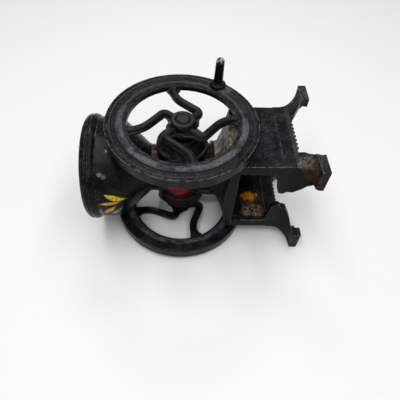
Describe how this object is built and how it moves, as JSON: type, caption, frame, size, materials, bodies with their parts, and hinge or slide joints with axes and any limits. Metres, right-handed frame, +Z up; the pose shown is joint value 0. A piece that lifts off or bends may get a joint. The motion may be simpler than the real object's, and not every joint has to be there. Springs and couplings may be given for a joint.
{
  "type": "coffee grinder mill",
  "caption": "Small antique table-top coffee mill in black enamelled cast iron: round hopper, cross axle with spoked fly wheels, and an open drawer compartment on flared legs.",
  "frame": {"origin": "on the plane of the four soles, midway between the legs and under the hopper's centre", "axes": "+Z up from the soles to the hopper, +X along the axle towards the handle wheel, -Y out of the drawer compartment's open front"},
  "size_m": [0.0652, 0.057, 0.0881],
  "materials": {
    "side_enamel": "black enamel on cast iron, glossy, worn to rust at the legs and edges",
    "base_enamel": "black enamel on cast iron, semi-gloss",
    "worn_enamel": "black enamel rubbed through to brown and pale metal",
    "body_enamel": "glossy black enamel with faded red bands",
    "hopper_enamel": "glossy black enamel with a hand-painted flower",
    "wheel_enamel": "glossy black enamel on cast iron, scratched",
    "handle_enamel": "glossy black enamel",
    "rivet_iron": "blackened iron",
    "burr_iron": "bare ground cast iron",
    "axle_steel": "dull worn steel",
    "bush_brass": "dull worn brass"
  },
  "bodies": {
    "stand": {"right_side": "side_enamel", "left_side": "side_enamel", "back_plate": "base_enamel", "shoulder": "worn_enamel", "right_case": "body_enamel", "left_case": "body_enamel", "front_rivet": "rivet_iron", "back_rivet": "rivet_iron", "right_bush": "bush_brass", "left_bush": "bush_brass", "burr_ring": "burr_iron", "hopper": "hopper_enamel", "mouth_ring": "hopper_enamel"},
    "drive": {"axle": "axle_steel", "grinding_cone": "burr_iron", "cone_pin": "axle_steel", "right_wheel": "wheel_enamel", "left_wheel": "wheel_enamel", "handle_collar": "handle_enamel", "handle_peg": "handle_enamel"}
  },
  "joints": [
    {"name": "axle_turn", "type": "hinge", "parent": "stand", "child": "drive", "pos_m": [0, 0, 0.0505], "axis": [1, 0, 0], "continuous": true}
  ]
}
